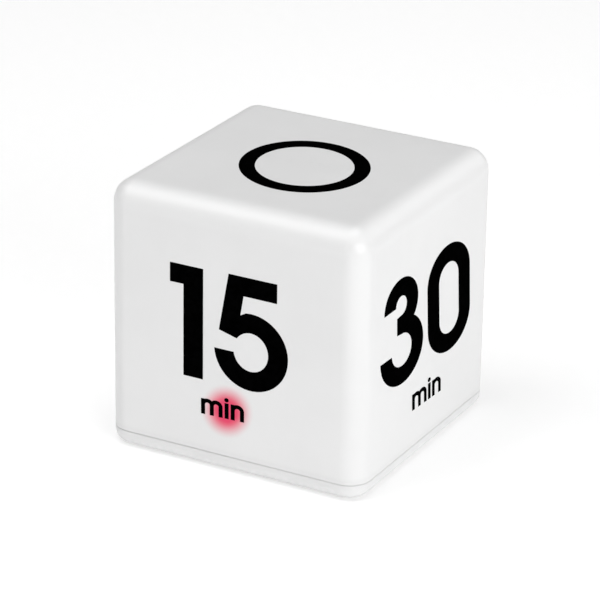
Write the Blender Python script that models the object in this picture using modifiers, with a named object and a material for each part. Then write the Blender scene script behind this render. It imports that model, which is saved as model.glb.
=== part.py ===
"""Cube timer: a moulded shell on a screwed base cover, with board, cells and tilt switches inside.

Metres, +Z up. The origin is at the bottom centre. The face marked 15 looks along -Y and the face
marked 30 along +X.
"""

import math

import bmesh
import bpy
from mathutils import Matrix, Vector

# Clearances and counts shared by all pieces
GAP = 0.0003
OVERRUN = 0.001
ROUND_SEGMENTS = 5
CORNER_SEGMENTS = 6
TURN_STEPS = 24
SMALL_STEPS = 12
MERGE = 0.00001
SHARP_ANGLE = math.radians(35)
QUARTER = math.radians(90)

# Cube
CUBE_WIDTH = 0.0635
CUBE_HEIGHT = 0.0625
EDGE_RADIUS = 0.0052
BASE_EDGE_RADIUS = 0.0030
WALL = 0.0022
SEAM_HEIGHT = 0.0041
RIM_BEVEL = 0.0003

# Base cover
FLOOR = 0.0022
LIP_THICKNESS = 0.0012
LIP_RISE = 0.0029
CASE_SCREW_INSET = 0.00715
RECESS_RADIUS = 0.0029
TUBE_WALL = 0.0009
SEAT_LOW = 0.0028
SEAT_THICKNESS = 0.0027

# Case screws and the columns that they bite into
SCREW_RADIUS = 0.0012
SCREW_LENGTH = 0.0100
SCREW_HEAD_RADIUS = 0.0024
SCREW_HEAD_HEIGHT = 0.0017
CROSS_WIDTH = 0.0007
CROSS_LENGTH = 0.0028
CROSS_DEPTH = 0.0009
COLUMN_RADIUS = 0.0031
COLUMN_RIB = 0.0013
PILOT_DEPTH = 0.0120

# Cells, two side by side, and their bay
CELL_RADIUS = 0.00525
CELL_LENGTH = 0.0445
CELL_NUB_RADIUS = 0.0019
CELL_NUB_HEIGHT = 0.0009
CELL_ROUND = 0.0006
CELL_RECESS_RADIUS = 0.0034
CELL_RECESS_DEPTH = 0.0002
BAY_WALL = 0.0012
BAY_ROOF = 0.0011
CONTACT_THICKNESS = 0.0004
CONTACT_EDGE = 0.00105
CONTACT_FOOT_ROOM = 0.0004
CONTACT_TOP_ROOM = 0.0006
LUG_WIDTH = 0.0020
LUG_STAND = 0.0010
SPRING_LENGTH = 0.0042
SPRING_WIRE = 0.0005
SPRING_BASE_RADIUS = 0.0040
SPRING_TIP_RADIUS = 0.0024
SPRING_TURNS = 4
SPRING_POINTS = 10

# Battery door with two tabs at one end and a sprung tongue at the other
DOOR_THICKNESS = 0.0016
DOOR_LEDGE = 0.0009
DOOR_CORNER = 0.0010
TAB_WIDTH = 0.0045
TAB_LENGTH = 0.0015
TAB_THICKNESS = 0.0007
TAB_POCKET_RISE = 0.0018
TONGUE_WIDTH = 0.0100
TONGUE_LENGTH = 0.0090
TONGUE_SLOT = 0.0008
NIB_WIDTH = 0.0020
NIB_REACH = 0.0007
NIB_THICKNESS = 0.0006
SCOOP_RADIUS = 0.0040
SCOOP_WIDTH = 0.0036
SCOOP_DEPTH = 0.0009

# Circuit board on four posts
BOARD_THICKNESS = 0.0010
BOARD_MARGIN = 0.00295
BOARD_COLUMN_ROOM = 0.0005
POST_ROOM = 0.00505
POST_STEP = 0.0056
POST_RADIUS = 0.0023
BOARD_SCREW_RADIUS = 0.0008
BOARD_SCREW_LENGTH = 0.0055
BOARD_SCREW_HEAD_RADIUS = 0.0018
BOARD_SCREW_HEAD_HEIGHT = 0.0012
BOARD_CROSS_WIDTH = 0.0005
BOARD_CROSS_LENGTH = 0.0021
BOARD_CROSS_DEPTH = 0.0006

# Lamps behind the four marked sides
LAMP_WIDTH = 0.0032
LAMP_DEPTH = 0.0016
LAMP_HEIGHT = 0.0013
LAMP_LENS_RADIUS = 0.0005
LAMP_OVERHANG = 0.0004
LAMP_SHIFT = -0.0010
WINDOW_RADIUS = 0.0052
WINDOW_LEFT_WALL = 0.0010
SHROUD_WALL = 0.0010
SHROUD_DEPTH = 0.0018
WINDOW_DROP = 0.00095

# Ball tilt switches, one towards each side
CAN_RADIUS = 0.0024
CAN_WALL = 0.0006
CAN_LENGTH = 0.0060
PIN_ROOM = 0.0019
HEADER_THICKNESS = 0.0012
PIN_SIZE = 0.0005
PIN_REACH = 0.0009
PIN_SPREAD = 0.0012
BALL_RADIUS = 0.0014

# Controller and the small electronic parts
BLOB_RADIUS = 0.0042
BLOB_HEIGHT = 0.0018
CRYSTAL_RADIUS = 0.0010
CRYSTAL_LENGTH = 0.0060
CRYSTAL_PLACE_SHARES = (0.53, 0.45)
CAPACITOR_RADIUS = 0.0025
CAPACITOR_HEIGHT = 0.0070
CAPACITOR_GROOVE = 0.0002
CAPACITOR_ROUND = 0.0004
CAPACITOR_PLACE_SHARES = (-0.49, 0.49)
TRANSISTOR_RADIUS = 0.0023
TRANSISTOR_FLAT = 0.0013
TRANSISTOR_HEIGHT = 0.0045
TRANSISTOR_PLACE_SHARES = (0.49, -0.45)
RESISTOR_LENGTH = 0.0032
RESISTOR_WIDTH = 0.0016
RESISTOR_HEIGHT = 0.0006
RESISTOR_INSET = 0.0051
RESISTOR_SHIFT = 0.0110

# Sounder under the board, over its sound holes
SOUNDER_RADIUS = 0.0060
SOUNDER_HEIGHT = 0.0085
SOUNDER_MOUTH_RADIUS = 0.0012
SOUNDER_MOUTH_DEPTH = 0.0012
SOUNDER_ROUND = 0.0005
SOUND_HOLE_RADIUS = 0.0008
SOUND_HOLE_CIRCLE = 0.0027
SOUND_HOLE_COUNT = 6
COLLAR_WALL = 0.0010
COLLAR_RADIUS = 0.0048
COLLAR_ROOM = 0.0007

# Volume switch under the board, with a cap in the base
SWITCH_LENGTH = 0.0086
SWITCH_WIDTH = 0.0044
SWITCH_HEIGHT = 0.0047
SWITCH_TRAVEL = 0.0020
SWITCH_POCKET_DEPTH = 0.0020
HANDLE_LENGTH = 0.0020
HANDLE_WIDTH = 0.0018
HANDLE_CLEARANCE = 0.0004
CAP_NUB_LENGTH = 0.0036
CAP_NUB_WIDTH = 0.0032
CAP_NUB_LOW = 0.0006
CAP_FLANGE_LENGTH = 0.0098
CAP_FLANGE_WIDTH = 0.0058
CAP_FLANGE_THICKNESS = 0.0010
CAP_SOCKET_WALL = 0.0009
CAP_SOCKET_RISE = 0.0022
CAP_GROOVE = 0.0004
CAP_GROOVE_COUNT = 3
RAIL_WIDTH = 0.0010

# Places worked out from the sizes above
CELL_X = CELL_RADIUS + GAP / 2
CELL_Z = DOOR_THICKNESS + GAP + CELL_RADIUS
BAY_HALF_WIDTH = CELL_X + CELL_RADIUS + GAP
BAY_HALF_LENGTH = (CELL_LENGTH + SPRING_LENGTH + 2 * CONTACT_THICKNESS + 5 * GAP) / 2
BAY_SIDE = BAY_HALF_WIDTH + BAY_WALL
BAY_CEILING = CELL_Z + CELL_RADIUS + GAP
BAY_TOP = BAY_CEILING + BAY_ROOF
HALF_WIDTH = CUBE_WIDTH / 2
INNER_HALF = HALF_WIDTH - WALL
LIP_OUTER = INNER_HALF - GAP
LIP_INNER = LIP_OUTER - LIP_THICKNESS
BASE_TOP = SEAM_HEIGHT - GAP / 2
SHELL_BOTTOM = SEAM_HEIGHT + GAP / 2
LIP_TOP = SEAM_HEIGHT + LIP_RISE
STRIP_MIDDLE = (BAY_SIDE + LIP_INNER) / 2
CASE_SCREW_PLACE = HALF_WIDTH - CASE_SCREW_INSET
SEAT_HIGH = SEAT_LOW + SEAT_THICKNESS
COLUMN_BOTTOM = SEAT_HIGH + GAP
LEDGE_HEIGHT = DOOR_THICKNESS + GAP
REBATE_HALF_WIDTH = BAY_HALF_WIDTH + DOOR_LEDGE
REBATE_HALF_LENGTH = BAY_HALF_LENGTH + DOOR_LEDGE
DOOR_HALF_WIDTH = REBATE_HALF_WIDTH - GAP
DOOR_HALF_LENGTH = REBATE_HALF_LENGTH - GAP
TAB_LOW = DOOR_THICKNESS - TAB_THICKNESS
TAB_POCKET_HIGH = DOOR_THICKNESS + TAB_POCKET_RISE
PIVOT_Z = TAB_LOW - GAP
PIVOT_Y = -REBATE_HALF_LENGTH
NIB_LOW = DOOR_THICKNESS - NIB_THICKNESS
CATCH_HEIGHT = NIB_LOW - GAP
CONTACT_WIDTH = 2 * (CELL_RADIUS - CONTACT_EDGE)
CONTACT_LOW = TAB_POCKET_HIGH + CONTACT_FOOT_ROOM
CONTACT_HIGH = CELL_Z + CELL_RADIUS - CONTACT_TOP_ROOM
BOARD_LOW = BAY_TOP + GAP
BOARD_HIGH = BOARD_LOW + BOARD_THICKNESS
BOARD_REACH = INNER_HALF - BOARD_MARGIN
BOARD_ARM = CASE_SCREW_PLACE - COLUMN_RADIUS - BOARD_COLUMN_ROOM
ON_BOARD = BOARD_HIGH + GAP
UNDER_BOARD = BOARD_LOW - GAP
POST_X = BAY_SIDE + POST_ROOM
POST_Y = CASE_SCREW_PLACE - POST_STEP
RESISTOR_REACH = BOARD_REACH - RESISTOR_INSET
WINDOW_HEIGHT = ON_BOARD + LAMP_HEIGHT / 2 - WINDOW_DROP
CAN_START = BLOB_RADIUS + PIN_ROOM + PIN_REACH + HEADER_THICKNESS + GAP
CAN_Z = ON_BOARD + CAN_RADIUS
HEADER_START = CAN_START - GAP - HEADER_THICKNESS
BALL_START = CAN_START + BALL_RADIUS
BALL_Z = CAN_Z - (CAN_RADIUS - CAN_WALL - BALL_RADIUS - GAP)
CRYSTAL_X, CRYSTAL_Y = (share * BOARD_REACH for share in CRYSTAL_PLACE_SHARES)
CAPACITOR_X, CAPACITOR_Y = (share * BOARD_REACH for share in CAPACITOR_PLACE_SHARES)
TRANSISTOR_X, TRANSISTOR_Y = (share * BOARD_REACH for share in TRANSISTOR_PLACE_SHARES)
SOUNDER_X = STRIP_MIDDLE
COLLAR_HIGH = UNDER_BOARD - SOUNDER_HEIGHT - COLLAR_ROOM
SWITCH_X = -STRIP_MIDDLE
SWITCH_LOW = UNDER_BOARD - SWITCH_HEIGHT
HANDLE_LOW = FLOOR + HANDLE_CLEARANCE
FLANGE_LOW = FLOOR + GAP
FLANGE_HIGH = FLANGE_LOW + CAP_FLANGE_THICKNESS
CAP_REST_Y = -SWITCH_TRAVEL / 2

SIDES = ("15min", "30min", "60min", "5min")
BOTH_WAYS = (-1, 1)


def clear_scene():
    for item in list(bpy.data.objects):
        bpy.data.objects.remove(item, do_unlink=True)


def new_collection(name):
    collection = bpy.data.collections.new(name)
    bpy.context.scene.collection.children.link(collection)
    return collection


clear_scene()
PARTS = new_collection("cube_timer")
CUTTERS = new_collection("cutters")


# Materials
def material(name, colour, roughness, metallic=0.0):
    made = bpy.data.materials.new(name)
    made.use_nodes = True
    shader = made.node_tree.nodes["Principled BSDF"]
    shader.inputs["Base Color"].default_value = (*colour, 1.0)
    shader.inputs["Roughness"].default_value = roughness
    shader.inputs["Metallic"].default_value = metallic
    return made


WHITE_SHELL = material("white_shell", (0.86, 0.86, 0.86), 0.32)
WHITE_BASE = material("white_base", (0.84, 0.84, 0.84), 0.34)
WHITE_DOOR = material("white_door", (0.83, 0.83, 0.83), 0.36)
BOARD_GREEN = material("board_green", (0.02, 0.16, 0.07), 0.45)
CELL_WRAP = material("cell_wrap", (0.05, 0.05, 0.06), 0.30)
NICKEL = material("nickel_steel", (0.62, 0.61, 0.58), 0.25, 1.0)
ZINC = material("zinc_steel", (0.55, 0.55, 0.56), 0.35, 1.0)
BLACK_PLASTIC = material("black_plastic", (0.02, 0.02, 0.02), 0.45)
RED_LAMP = material("red_lamp", (0.75, 0.05, 0.08), 0.20)
WHITE_LAMP = material("white_lamp", (0.85, 0.80, 0.78), 0.30)
BLACK_EPOXY = material("black_epoxy", (0.01, 0.01, 0.01), 0.25)


# Helpers for pieces, cutters and places
def add_object(name, mesh, paint=None):
    made = bpy.data.objects.new(name, mesh)
    if paint is None:
        CUTTERS.objects.link(made)
        made.hide_render = True
        made.display_type = "WIRE"
    else:
        PARTS.objects.link(made)
        mesh.materials.clear()
        mesh.materials.append(paint)
    return made


def mesh_from(name, shape):
    mesh = bpy.data.meshes.new(name)
    bmesh.ops.recalc_face_normals(shape, faces=shape.faces)
    shape.to_mesh(mesh)
    shape.free()
    return mesh


def smooth(mesh):
    mesh.shade_smooth()
    mesh.set_sharp_from_angle(angle=SHARP_ANGLE)


def box(name, low, high, paint=None):
    """A plain block between two opposite corners."""
    low, high = Vector(low), Vector(high)
    shape = bmesh.new()
    bmesh.ops.create_cube(shape, size=1)
    bmesh.ops.scale(shape, vec=high - low, verts=shape.verts)
    bmesh.ops.translate(shape, vec=(low + high) / 2, verts=shape.verts)
    return add_object(name, mesh_from(name, shape), paint)


def centred_box(name, centre, size, paint=None):
    centre, half = Vector(centre), Vector(size) / 2
    return box(name, centre - half, centre + half, paint)


def edges_along(shape, axis):
    found = []
    for edge in shape.edges:
        run = edge.verts[0].co - edge.verts[1].co
        if abs(run[axis]) > run.length * math.cos(SHARP_ANGLE):
            found.append(edge)
    return found


def edges_at_height(shape, height):
    return [edge for edge in shape.edges if all(abs(v.co.z - height) < MERGE for v in edge.verts)]


def round_edges(shape, edges, radius, segments):
    bmesh.ops.bevel(shape, geom=edges, offset=radius, segments=segments, profile=0.5, affect="EDGES")


def rounded_block(name, half_x, half_y, low, high, corner, paint=None, top=0, bottom=0, rim=0):
    """A block with rounded upright edges, rounded top or bottom edges, and a fine bevel round
    the end that is left."""
    shape = bmesh.new()
    bmesh.ops.create_cube(shape, size=1)
    bmesh.ops.scale(shape, vec=(2 * half_x, 2 * half_y, high - low), verts=shape.verts)
    bmesh.ops.translate(shape, vec=(0, 0, (low + high) / 2), verts=shape.verts)
    round_edges(shape, edges_along(shape, 2), corner, CORNER_SEGMENTS)
    if top:
        round_edges(shape, edges_at_height(shape, high), top, ROUND_SEGMENTS)
    if bottom:
        round_edges(shape, edges_at_height(shape, low), bottom, ROUND_SEGMENTS)
    if rim:
        round_edges(shape, edges_at_height(shape, low if top else high), rim, 1)
    bmesh.ops.remove_doubles(shape, verts=shape.verts, dist=MERGE)
    bmesh.ops.dissolve_degenerate(shape, edges=shape.edges, dist=MERGE)
    return add_object(name, mesh_from(name, shape), paint)


def cylinder(name, radius, low, high, x=0, y=0, paint=None, steps=TURN_STEPS):
    """An upright cylinder."""
    shape = bmesh.new()
    place = Matrix.Translation((x, y, (low + high) / 2))
    bmesh.ops.create_cone(shape, cap_ends=True, segments=steps, radius1=radius, radius2=radius,
                          depth=high - low, matrix=place)
    return add_object(name, mesh_from(name, shape), paint)


def lying_cylinder(name, radius, start, end, x, z, paint=None, steps=TURN_STEPS):
    """A cylinder along Y."""
    shape = bmesh.new()
    place = Matrix.Translation((x, (start + end) / 2, z)) @ Matrix.Rotation(QUARTER, 4, "X")
    bmesh.ops.create_cone(shape, cap_ends=True, segments=steps, radius1=radius, radius2=radius,
                          depth=abs(end - start), matrix=place)
    return add_object(name, mesh_from(name, shape), paint)


def boolean(target, other, operation):
    step = target.modifiers.new(other.name, "BOOLEAN")
    step.operation = operation
    step.solver = "EXACT"
    step.object = other


def cut(target, *others):
    for other in others:
        boolean(target, other, "DIFFERENCE")


def join(target, *others):
    for other in others:
        boolean(target, other, "UNION")


def mirror_to_corners(item):
    step = item.modifiers.new("corners", "MIRROR")
    step.use_axis = (True, True, False)
    step.use_mirror_merge = False
    step.merge_threshold = MERGE
    return item


def turned(name, profile, paint=None, steps=TURN_STEPS):
    """A turned solid from (radius, height) points that run down its outer side."""
    mesh = bpy.data.meshes.new(name)
    points = [(radius, 0, height) for radius, height in profile]
    links = [(index, index + 1) for index in range(len(points) - 1)]
    mesh.from_pydata(points, links, [])
    made = add_object(name, mesh, paint)
    screw = made.modifiers.new("turn", "SCREW")
    screw.axis = "Z"
    screw.steps = steps
    screw.render_steps = steps
    screw.use_merge_vertices = True
    screw.merge_threshold = MERGE
    screw.use_smooth_shade = False
    return made


def finished_mesh(item, name):
    """The shape of an object after its modifiers, which copies can share."""
    bpy.context.view_layer.update()
    evaluated = item.evaluated_get(bpy.context.evaluated_depsgraph_get())
    mesh = bpy.data.meshes.new_from_object(evaluated)
    mesh.name = name
    bpy.data.objects.remove(item, do_unlink=True)
    smooth(mesh)
    return mesh


def side_turn(index):
    """The quarter turn about Z that brings the front side to another marked side."""
    return index * QUARTER


def arc(centre_x, centre_z, radius, start, end, segments):
    """Points on an arc, with angles in degrees."""
    points = []
    for index in range(segments + 1):
        angle = math.radians(start + (end - start) * index / segments)
        points.append((centre_x + radius * math.cos(angle), centre_z + radius * math.sin(angle)))
    return points


# Shell: five walls, screw columns with ribs, and a thinned window with a shroud behind each mark
def make_cube_shell():
    shell = rounded_block("cube_shell", HALF_WIDTH, HALF_WIDTH, SHELL_BOTTOM, CUBE_HEIGHT,
                          EDGE_RADIUS, WHITE_SHELL, top=EDGE_RADIUS, rim=RIM_BEVEL)
    hollow = rounded_block("shell_hollow", INNER_HALF, INNER_HALF, SHELL_BOTTOM - OVERRUN,
                           CUBE_HEIGHT - WALL, EDGE_RADIUS - WALL, top=EDGE_RADIUS - WALL)
    ceiling = CUBE_HEIGHT - WALL / 2
    wall_middle = HALF_WIDTH - WALL / 2
    place = CASE_SCREW_PLACE
    column = cylinder("shell_columns", COLUMN_RADIUS, COLUMN_BOTTOM, ceiling, place, place)
    rib_low = LIP_TOP + GAP
    rib_high = CUBE_HEIGHT - EDGE_RADIUS
    rib_x = box("column_rib_x", (place, place - COLUMN_RIB / 2, rib_low),
                (wall_middle, place + COLUMN_RIB / 2, rib_high))
    rib_y = box("column_rib_y", (place - COLUMN_RIB / 2, place, rib_low),
                (place + COLUMN_RIB / 2, wall_middle, rib_high))
    join(column, rib_x, rib_y)
    cut(hollow, mirror_to_corners(column))
    pilot = cylinder("shell_pilots", SCREW_RADIUS + GAP, COLUMN_BOTTOM - OVERRUN,
                     COLUMN_BOTTOM + PILOT_DEPTH, place, place, steps=SMALL_STEPS)
    windows = []
    for index, side in enumerate(SIDES):
        shroud = lying_cylinder("shroud_" + side, WINDOW_RADIUS + SHROUD_WALL, -wall_middle,
                                SHROUD_DEPTH - INNER_HALF, LAMP_SHIFT, WINDOW_HEIGHT)
        window = lying_cylinder("window_" + side, WINDOW_RADIUS, WINDOW_LEFT_WALL - HALF_WIDTH,
                                SHROUD_DEPTH + OVERRUN - INNER_HALF, LAMP_SHIFT, WINDOW_HEIGHT)
        for item in (shroud, window):
            item.rotation_euler.z = side_turn(index)
        cut(hollow, shroud)
        windows.append(window)
    cut(shell, hollow, mirror_to_corners(pilot), *windows)
    return shell


# Base cover: a shallow tray with a register lip, battery bay, screw tubes, posts and switch slot
def make_base_cover():
    base = rounded_block("base_cover", HALF_WIDTH, HALF_WIDTH, 0, BASE_TOP, EDGE_RADIUS,
                         WHITE_BASE, bottom=BASE_EDGE_RADIUS, rim=RIM_BEVEL)
    lip = rounded_block("base_lip", LIP_OUTER, LIP_OUTER, FLOOR - OVERRUN, LIP_TOP,
                        EDGE_RADIUS - WALL)
    join(base, lip)
    hollow = rounded_block("base_hollow", LIP_INNER, LIP_INNER, FLOOR, LIP_TOP + OVERRUN,
                           EDGE_RADIUS - WALL - LIP_THICKNESS)
    cut(base, hollow)
    add_bay(base)
    add_screw_tubes(base)
    add_board_posts(base)
    add_sounder_collar(base)
    add_switch_slot(base)
    cut_door_seat(base)
    return base


def add_bay(base):
    bay = box("bay_walls", (-BAY_HALF_WIDTH - BAY_WALL, -BAY_HALF_LENGTH - BAY_WALL, FLOOR / 2),
              (BAY_HALF_WIDTH + BAY_WALL, BAY_HALF_LENGTH + BAY_WALL, BAY_TOP))
    room = box("bay_room", (-BAY_HALF_WIDTH, -BAY_HALF_LENGTH, -OVERRUN),
               (BAY_HALF_WIDTH, BAY_HALF_LENGTH, BAY_CEILING))
    join(base, bay)
    cut(base, room)
    for side in BOTH_WAYS:
        y = BAY_HALF_LENGTH - GAP - CONTACT_THICKNESS / 2
        slot = centred_box("lug_slot", (side * CELL_X, y, BAY_CEILING + BAY_ROOF / 2),
                           (LUG_WIDTH + 2 * GAP, CONTACT_THICKNESS + 2 * GAP,
                            BAY_ROOF + 2 * OVERRUN))
        cut(base, slot)


def add_screw_tubes(base):
    place = CASE_SCREW_PLACE
    tube = cylinder("screw_tubes", RECESS_RADIUS + TUBE_WALL, FLOOR / 2, SEAT_HIGH, place, place)
    recess = cylinder("screw_recesses", RECESS_RADIUS, -OVERRUN, SEAT_LOW, place, place)
    hole = cylinder("screw_holes", SCREW_RADIUS + GAP, SEAT_LOW - OVERRUN, SEAT_HIGH + OVERRUN,
                    place, place, steps=SMALL_STEPS)
    join(base, mirror_to_corners(tube))
    cut(base, mirror_to_corners(recess), mirror_to_corners(hole))


def add_board_posts(base):
    post = cylinder("board_posts", POST_RADIUS, FLOOR / 2, UNDER_BOARD, POST_X, POST_Y,
                    steps=SMALL_STEPS)
    pilot = cylinder("post_pilots", BOARD_SCREW_RADIUS + GAP,
                     UNDER_BOARD - BOARD_SCREW_LENGTH, UNDER_BOARD + OVERRUN, POST_X, POST_Y,
                     steps=SMALL_STEPS)
    join(base, mirror_to_corners(post))
    cut(base, mirror_to_corners(pilot))


def add_sounder_collar(base):
    collar = cylinder("sounder_collar", COLLAR_RADIUS, FLOOR / 2, COLLAR_HIGH, SOUNDER_X)
    room = cylinder("collar_room", COLLAR_RADIUS - COLLAR_WALL, FLOOR,
                    COLLAR_HIGH + OVERRUN, SOUNDER_X)
    join(base, collar)
    cut(base, room)
    places = [(0, 0)]
    for index in range(SOUND_HOLE_COUNT):
        angle = index * math.tau / SOUND_HOLE_COUNT
        places.append((SOUND_HOLE_CIRCLE * math.cos(angle), SOUND_HOLE_CIRCLE * math.sin(angle)))
    for x, y in places:
        hole = cylinder("sound_hole", SOUND_HOLE_RADIUS, -OVERRUN, FLOOR + OVERRUN,
                        SOUNDER_X + x, y, steps=SMALL_STEPS)
        cut(base, hole)


def add_switch_slot(base):
    slot = centred_box("switch_slot", (SWITCH_X, 0, FLOOR / 2),
                       (CAP_NUB_WIDTH + 2 * GAP, CAP_NUB_LENGTH + SWITCH_TRAVEL + 2 * GAP,
                        FLOOR + 2 * OVERRUN))
    cut(base, slot)
    for side in BOTH_WAYS:
        x = SWITCH_X + side * (CAP_FLANGE_WIDTH / 2 + GAP + RAIL_WIDTH / 2)
        length = CAP_FLANGE_LENGTH + SWITCH_TRAVEL + 2 * GAP
        rail = centred_box("switch_rail", (x, 0, FLANGE_HIGH / 2 + FLOOR / 4),
                           (RAIL_WIDTH, length, FLANGE_HIGH - FLOOR / 2))
        join(base, rail)


def cut_door_seat(base):
    rebate = rounded_block("door_rebate", REBATE_HALF_WIDTH, REBATE_HALF_LENGTH, -OVERRUN,
                           LEDGE_HEIGHT, DOOR_CORNER)
    cut(base, rebate)
    for side in BOTH_WAYS:
        pocket = box("tab_pocket",
                     (side * CELL_X - TAB_WIDTH / 2 - GAP, PIVOT_Y - TAB_LENGTH - GAP, PIVOT_Z),
                     (side * CELL_X + TAB_WIDTH / 2 + GAP, OVERRUN / 2 - BAY_HALF_LENGTH,
                      TAB_POCKET_HIGH))
        x = side * (TONGUE_WIDTH - NIB_WIDTH) / 2
        catch = box("nib_pocket",
                    (x - NIB_WIDTH / 2 - GAP, BAY_HALF_LENGTH, CATCH_HEIGHT),
                    (x + NIB_WIDTH / 2 + GAP, DOOR_HALF_LENGTH + NIB_REACH + GAP, LEDGE_HEIGHT))
        cut(base, pocket, catch)
    cut(base, scoop_cutter("base_scoop"))


def scoop_cutter(name):
    """The thumbnail scoop that crosses the door's free end."""
    shape = bmesh.new()
    place = Matrix.Translation((0, REBATE_HALF_LENGTH, SCOOP_DEPTH - SCOOP_RADIUS))
    place = place @ Matrix.Rotation(QUARTER, 4, "Y")
    bmesh.ops.create_cone(shape, cap_ends=True, segments=2 * TURN_STEPS, radius1=SCOOP_RADIUS,
                          radius2=SCOOP_RADIUS, depth=SCOOP_WIDTH, matrix=place)
    return add_object(name, mesh_from(name, shape))


# Battery door: its origin is on the line where its tabs hook behind the base
def make_battery_door():
    shape = bmesh.new()
    bmesh.ops.create_cube(shape, size=1)
    bmesh.ops.scale(shape, vec=(2 * DOOR_HALF_WIDTH, 2 * DOOR_HALF_LENGTH, DOOR_THICKNESS),
                    verts=shape.verts)
    bmesh.ops.translate(shape, vec=(0, 0, DOOR_THICKNESS / 2), verts=shape.verts)
    round_edges(shape, edges_along(shape, 2), DOOR_CORNER - GAP, 2)
    heel = [edge for edge in edges_at_height(shape, 0)
            if all(v.co.y < MERGE - DOOR_HALF_LENGTH for v in edge.verts)]
    round_edges(shape, heel, PIVOT_Z, 1)
    pivot = Vector((0, PIVOT_Y, PIVOT_Z))
    door = add_object("battery_door", mesh_from("battery_door", shape), WHITE_DOOR)
    for side in BOTH_WAYS:
        tab = box("door_tab",
                  (side * CELL_X - TAB_WIDTH / 2, PIVOT_Y - TAB_LENGTH, TAB_LOW),
                  (side * CELL_X + TAB_WIDTH / 2, OVERRUN - DOOR_HALF_LENGTH, DOOR_THICKNESS))
        join(door, tab)
        x = side * (TONGUE_WIDTH - NIB_WIDTH) / 2
        nib = box("door_nib", (x - NIB_WIDTH / 2, DOOR_HALF_LENGTH - OVERRUN, NIB_LOW),
                  (x + NIB_WIDTH / 2, DOOR_HALF_LENGTH + NIB_REACH, DOOR_THICKNESS))
        join(door, nib)
        slot = centred_box("tongue_slot",
                           (side * (TONGUE_WIDTH + TONGUE_SLOT) / 2,
                            DOOR_HALF_LENGTH + OVERRUN - TONGUE_LENGTH / 2, DOOR_THICKNESS / 2),
                           (TONGUE_SLOT, TONGUE_LENGTH + 2 * OVERRUN,
                            DOOR_THICKNESS + 2 * OVERRUN))
        cut(door, slot)
    cut(door, scoop_cutter("door_scoop"))
    mesh = finished_mesh(door, "battery_door")
    mesh.transform(Matrix.Translation(-pivot))
    door = add_object("battery_door", mesh, WHITE_DOOR)
    door.location = pivot
    return door


# Cells: one lies each way round
def make_cell(name, x, turn):
    half = CELL_LENGTH / 2
    shoulder = half - CELL_NUB_HEIGHT
    rim = CELL_RADIUS - CELL_ROUND
    top = arc(rim, shoulder - CELL_ROUND, CELL_ROUND, 90, 0, 3)
    foot = arc(rim, CELL_ROUND - half, CELL_ROUND, 0, -90, 3)
    nub_top = [(0, half), (CELL_NUB_RADIUS - CELL_ROUND / 2, half),
               (CELL_NUB_RADIUS, half - CELL_ROUND / 2), (CELL_NUB_RADIUS, shoulder)]
    recess = [(CELL_RECESS_RADIUS, -half), (CELL_RECESS_RADIUS, CELL_RECESS_DEPTH - half),
              (0, CELL_RECESS_DEPTH - half)]
    mesh = finished_mesh(turned(name, nub_top + top + foot + recess, CELL_WRAP), name)
    cell = add_object(name, mesh, CELL_WRAP)
    cell.rotation_euler = (-QUARTER, 0, turn)
    middle = (SPRING_LENGTH + GAP) / 2
    cell.location = (x, middle * math.cos(turn), CELL_Z)
    return cell


def contact_plate(name, side, low_x, high_x, lug_x=None):
    """A flat contact against one end wall of the bay, with a lug up to the board if asked."""
    middle = side * (BAY_HALF_LENGTH - GAP - CONTACT_THICKNESS / 2)
    half = CONTACT_THICKNESS / 2
    plate = box(name, (low_x, middle - half, CONTACT_LOW), (high_x, middle + half, CONTACT_HIGH),
                NICKEL)
    if lug_x is not None:
        lug = box(name + "_lug", (lug_x - LUG_WIDTH / 2, middle - half, CONTACT_HIGH - OVERRUN),
                  (lug_x + LUG_WIDTH / 2, middle + half, BOARD_HIGH + LUG_STAND))
        join(plate, lug)
    return plate


def spring_points():
    """Coil centre line along +Z: it narrows towards its tip by the same amount each turn."""
    count = SPRING_TURNS * SPRING_POINTS
    rise = SPRING_LENGTH - SPRING_WIRE
    points = []
    for index in range(count + 1):
        share = index / count
        angle = index * math.tau / SPRING_POINTS
        radius = SPRING_BASE_RADIUS + (SPRING_TIP_RADIUS - SPRING_BASE_RADIUS) * share
        points.append(Vector((radius * math.cos(angle), radius * math.sin(angle),
                              SPRING_WIRE / 2 + rise * share)))
    return points


def least_self_gap(points, wire, skip):
    """The least free distance between stretches of the coil that aren't neighbours."""
    least = math.inf
    for index, first in enumerate(points):
        for second in points[index + skip:]:
            least = min(least, (first - second).length - wire)
    return least


def tube_mesh(name, points, radius, resolution):
    """A round wire through the points, with its end caps welded on."""
    curve = bpy.data.curves.new(name, "CURVE")
    curve.dimensions = "3D"
    curve.bevel_depth = radius
    curve.bevel_resolution = resolution
    curve.use_fill_caps = True
    spline = curve.splines.new("POLY")
    spline.points.add(len(points) - 1)
    for slot, point in zip(spline.points, points):
        slot.co = (*point, 1)
    item = bpy.data.objects.new(name, curve)
    CUTTERS.objects.link(item)
    mesh = finished_mesh(item, name)
    shape = bmesh.new()
    shape.from_mesh(mesh)
    bmesh.ops.remove_doubles(shape, verts=shape.verts, dist=MERGE)
    bmesh.ops.recalc_face_normals(shape, faces=shape.faces)
    shape.to_mesh(mesh)
    shape.free()
    smooth(mesh)
    return mesh


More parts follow.
